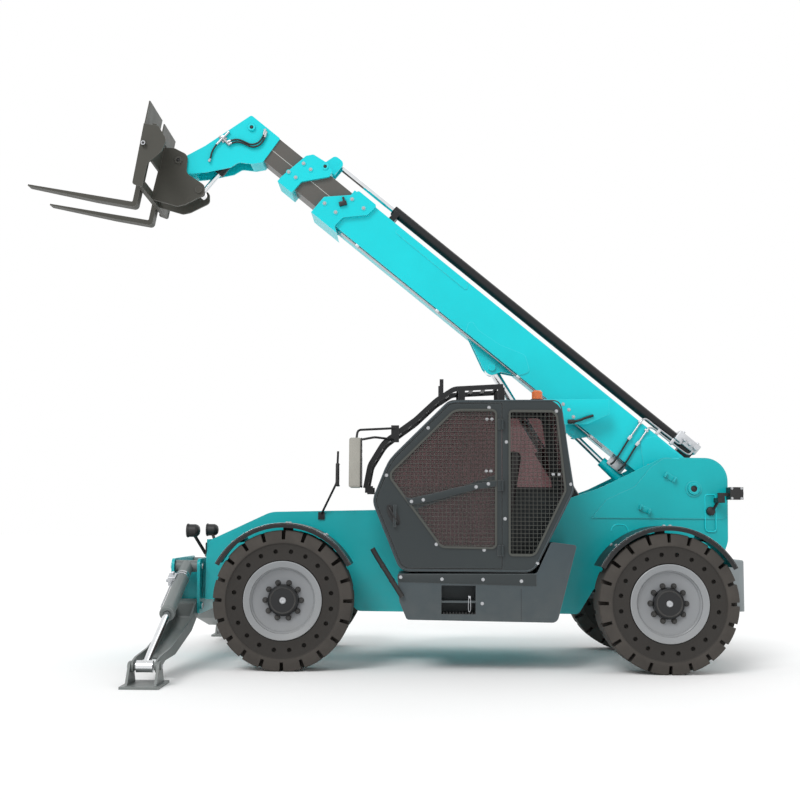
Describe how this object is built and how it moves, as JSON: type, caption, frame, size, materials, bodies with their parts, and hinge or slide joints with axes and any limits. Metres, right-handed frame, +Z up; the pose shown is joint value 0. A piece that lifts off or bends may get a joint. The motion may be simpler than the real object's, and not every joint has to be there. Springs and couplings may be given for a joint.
{
  "type": "telehandler",
  "caption": "Telescopic handler with a raised sectioned boom carrying pallet forks, a side cab with a mesh-guarded door, steered wheels and front stabilizers.",
  "frame": {"origin": "centre of the bounding box on the ground", "axes": "+Z up, +X to the rear, -Y to the cab's side"},
  "size_m": [6.6922, 4.74, 5.2266],
  "materials": {
    "body_teal": "gloss",
    "chassis_teal": "gloss",
    "door_grey": "satin",
    "skirt_grey": "satin",
    "guard_black": "satin",
    "inner_boom_grey": "satin",
    "carriage_dark": "satin",
    "rim_silver": "satin",
    "leg_grey": "satin",
    "tyre_rubber": "matte",
    "chrome_rod": "polished",
    "tinted_glass": "clear",
    "seat_black": "matte",
    "lamp_black": "satin",
    "beacon_orange": "gloss",
    "engine_iron": "satin",
    "weight_grey": "satin"
  },
  "bodies": {
    "chassis": {"chassis_frame": "chassis_teal", "front_axle": "guard_black", "rear_axle": "guard_black", "drive_line": "engine_iron", "counterweight": "weight_grey", "stabilizer_frame": "chassis_teal", "cab_frame": "door_grey", "cab_glass": "tinted_glass", "quarter_grille": "guard_black", "roof_guard": "guard_black", "cab_rails": "guard_black", "cab_seat": "seat_black", "cab_console": "seat_black", "beacon": "beacon_orange", "lamps": "lamp_black", "engine_pod": "chassis_teal", "engine_block": "engine_iron", "step_box": "skirt_grey"},
    "knuckle_front_left": {"knuckle_front_left": "guard_black"},
    "wheel_front_left": {"tyre_front_left": "tyre_rubber", "rim_front_left": "rim_silver"},
    "knuckle_front_right": {"knuckle_front_right": "guard_black"},
    "wheel_front_right": {"tyre_front_right": "tyre_rubber", "rim_front_right": "rim_silver"},
    "knuckle_rear_left": {"knuckle_rear_left": "guard_black"},
    "wheel_rear_left": {"tyre_rear_left": "tyre_rubber", "rim_rear_left": "rim_silver"},
    "knuckle_rear_right": {"knuckle_rear_right": "guard_black"},
    "wheel_rear_right": {"tyre_rear_right": "tyre_rubber", "rim_rear_right": "rim_silver"},
    "boom_main": {"boom_main": "body_teal", "extension_barrel": "guard_black"},
    "boom_mid": {"boom_mid": "inner_boom_grey", "extension_rod": "chrome_rod"},
    "boom_inner": {"boom_inner": "body_teal"},
    "carriage": {"fork_carriage": "carriage_dark", "forks": "carriage_dark"},
    "lift_rod": {"lift_rod": "chrome_rod"},
    "lift_barrel": {"lift_barrel": "guard_black"},
    "level_rod": {"level_rod": "chrome_rod"},
    "level_barrel": {"level_barrel": "body_teal"},
    "tilt_barrel": {"tilt_barrel": "guard_black"},
    "tilt_rod": {"tilt_rod": "chrome_rod"},
    "stabilizer_leg_left": {"stabilizer_leg_left": "leg_grey"},
    "stabilizer_foot_left": {"stabilizer_foot_left": "leg_grey"},
    "stabilizer_barrel_left": {"stabilizer_barrel_left": "leg_grey"},
    "stabilizer_rod_left": {"stabilizer_rod_left": "chrome_rod"},
    "stabilizer_leg_right": {"stabilizer_leg_right": "leg_grey"},
    "stabilizer_foot_right": {"stabilizer_foot_right": "leg_grey"},
    "stabilizer_barrel_right": {"stabilizer_barrel_right": "leg_grey"},
    "stabilizer_rod_right": {"stabilizer_rod_right": "chrome_rod"},
    "cab_door": {"cab_door": "door_grey", "door_glass": "tinted_glass", "door_grille": "guard_black"},
    "engine_hood": {"engine_hood": "body_teal"}
  },
  "joints": [
    {"name": "steer_front_left", "type": "hinge", "parent": "chassis", "child": "knuckle_front_left", "pos_m": [-0.775, -0.7, 0.6], "axis": [0, 0, 1], "range_deg": [-30, 30]},
    {"name": "spin_front_left", "type": "hinge", "parent": "knuckle_front_left", "child": "wheel_front_left", "pos_m": [-0.775, -1, 0.6], "axis": [0, 1, 0], "continuous": true},
    {"name": "steer_front_right", "type": "hinge", "parent": "chassis", "child": "knuckle_front_right", "pos_m": [-0.775, 0.7, 0.6], "axis": [0, 0, 1], "range_deg": [-30, 30]},
    {"name": "spin_front_right", "type": "hinge", "parent": "knuckle_front_right", "child": "wheel_front_right", "pos_m": [-0.775, 1, 0.6], "axis": [0, 1, 0], "continuous": true},
    {"name": "steer_rear_left", "type": "hinge", "parent": "chassis", "child": "knuckle_rear_left", "pos_m": [2.535, -0.7, 0.6], "axis": [0, 0, 1], "range_deg": [-30, 30]},
    {"name": "spin_rear_left", "type": "hinge", "parent": "knuckle_rear_left", "child": "wheel_rear_left", "pos_m": [2.535, -1, 0.6], "axis": [0, 1, 0], "continuous": true},
    {"name": "steer_rear_right", "type": "hinge", "parent": "chassis", "child": "knuckle_rear_right", "pos_m": [2.535, 0.7, 0.6], "axis": [0, 0, 1], "range_deg": [-30, 30]},
    {"name": "spin_rear_right", "type": "hinge", "parent": "knuckle_rear_right", "child": "wheel_rear_right", "pos_m": [2.535, 1, 0.6], "axis": [0, 1, 0], "continuous": true},
    {"name": "boom_lift", "type": "hinge", "parent": "chassis", "child": "boom_main", "pos_m": [2.918, 0, 1.603], "axis": [0, 1, 0], "range_deg": [-43.2, 31]},
    {"name": "boom_extend", "type": "slide", "parent": "boom_main", "child": "boom_mid", "axis": [-0.7749, 0, 0.632], "range_m": [-0.22, 2.75]},
    {"name": "boom_extend_inner", "type": "slide", "parent": "boom_mid", "child": "boom_inner", "axis": [-0.7749, 0, 0.632], "range_m": [-0.22, 2.75]},
    {"name": "lift_rod_swing", "type": "hinge", "parent": "boom_main", "child": "lift_rod", "pos_m": [1.0876, 0, 2.76678], "axis": [0, 1, 0], "range_deg": [-1.04, 1.41]},
    {"name": "lift_barrel_slide", "type": "slide", "parent": "lift_rod", "child": "lift_barrel", "axis": [0.525, 0, -0.8511], "range_m": [-0.6844, 0.4917]},
    {"name": "level_rod_swing", "type": "hinge", "parent": "boom_main", "child": "level_rod", "pos_m": [1.86126, 0, 2.14741], "axis": [0, 1, 0], "range_deg": [-1.32, 0.98]},
    {"name": "level_barrel_slide", "type": "slide", "parent": "level_rod", "child": "level_barrel", "axis": [0.7172, 0, -0.6968], "range_m": [-0.2397, 0.1726]},
    {"name": "carriage_tilt", "type": "hinge", "parent": "boom_inner", "child": "carriage", "pos_m": [-1.97061, 0, 4.76677], "axis": [0, -1, 0], "range_deg": [-43, 36]},
    {"name": "tilt_barrel_swing", "type": "hinge", "parent": "boom_inner", "child": "tilt_barrel", "pos_m": [-1.26522, 0, 5.10637], "axis": [0, -1, 0], "range_deg": [-6.18, 5.19]},
    {"name": "tilt_rod_slide", "type": "slide", "parent": "tilt_barrel", "child": "tilt_rod", "axis": [-0.619, 0, -0.7854], "range_m": [-0.2077, 0.2477]},
    {"name": "stabilizer_left", "type": "hinge", "parent": "chassis", "child": "stabilizer_leg_left", "pos_m": [-1.73, -0.42, 0.5], "axis": [-1, 0, 0], "range_deg": [-3, 62]},
    {"name": "stabilizer_foot_left", "type": "hinge", "parent": "stabilizer_leg_left", "child": "stabilizer_foot_left", "pos_m": [-1.73, -2.15, 0.15], "axis": [-1, 0, 0], "range_deg": [-30, 30]},
    {"name": "stabilizer_barrel_swing_left", "type": "hinge", "parent": "chassis", "child": "stabilizer_barrel_left", "pos_m": [-1.73, -0.46, 0.86], "axis": [-1, 0, 0], "range_deg": [-3.22, 64.34]},
    {"name": "stabilizer_rod_slide_left", "type": "slide", "parent": "stabilizer_barrel_left", "child": "stabilizer_rod_left", "axis": [0, -0.9219, -0.3873], "range_m": [-0.371, 0.0199]},
    {"name": "stabilizer_right", "type": "hinge", "parent": "chassis", "child": "stabilizer_leg_right", "pos_m": [-1.73, 0.42, 0.5], "axis": [1, 0, 0], "range_deg": [-3, 62]},
    {"name": "stabilizer_foot_right", "type": "hinge", "parent": "stabilizer_leg_right", "child": "stabilizer_foot_right", "pos_m": [-1.73, 2.15, 0.15], "axis": [1, 0, 0], "range_deg": [-30, 30]},
    {"name": "stabilizer_barrel_swing_right", "type": "hinge", "parent": "chassis", "child": "stabilizer_barrel_right", "pos_m": [-1.73, 0.46, 0.86], "axis": [1, 0, 0], "range_deg": [-3.22, 64.34]},
    {"name": "stabilizer_rod_slide_right", "type": "slide", "parent": "stabilizer_barrel_right", "child": "stabilizer_rod_right", "axis": [0, 0.9219, -0.3873], "range_m": [-0.371, 0.0199]},
    {"name": "cab_door", "type": "hinge", "parent": "chassis", "child": "cab_door", "pos_m": [1.109, -1.175, 1.6], "axis": [0, 0, 1], "range_deg": [0, 85]},
    {"name": "engine_hood", "type": "hinge", "parent": "chassis", "child": "engine_hood", "pos_m": [0.885, 0.474, 1.446], "axis": [1, 0, 0], "range_deg": [0, 65]}
  ],
  "couplings": [
    {"joint": "steer_front_right", "follows": "steer_front_left", "ratio": 1},
    {"joint": "steer_rear_right", "follows": "steer_rear_left", "ratio": 1},
    {"joint": "boom_extend_inner", "follows": "boom_extend", "ratio": 1},
    {"joint": "lift_rod_swing", "follows": "boom_lift", "ratio": -0.03},
    {"joint": "lift_barrel_slide", "follows": "boom_lift", "m_per_rad": 0.905},
    {"joint": "level_rod_swing", "follows": "boom_lift", "ratio": 0.028},
    {"joint": "level_barrel_slide", "follows": "boom_lift", "m_per_rad": 0.3153},
    {"joint": "tilt_barrel_swing", "follows": "carriage_tilt", "ratio": 0.141},
    {"joint": "tilt_rod_slide", "follows": "carriage_tilt", "m_per_rad": -0.3274},
    {"joint": "stabilizer_barrel_swing_left", "follows": "stabilizer_left", "ratio": 1.0359},
    {"joint": "stabilizer_rod_slide_left", "follows": "stabilizer_left", "m_per_rad": -0.341},
    {"joint": "stabilizer_barrel_swing_right", "follows": "stabilizer_right", "ratio": 1.0359},
    {"joint": "stabilizer_rod_slide_right", "follows": "stabilizer_right", "m_per_rad": -0.341}
  ]
}
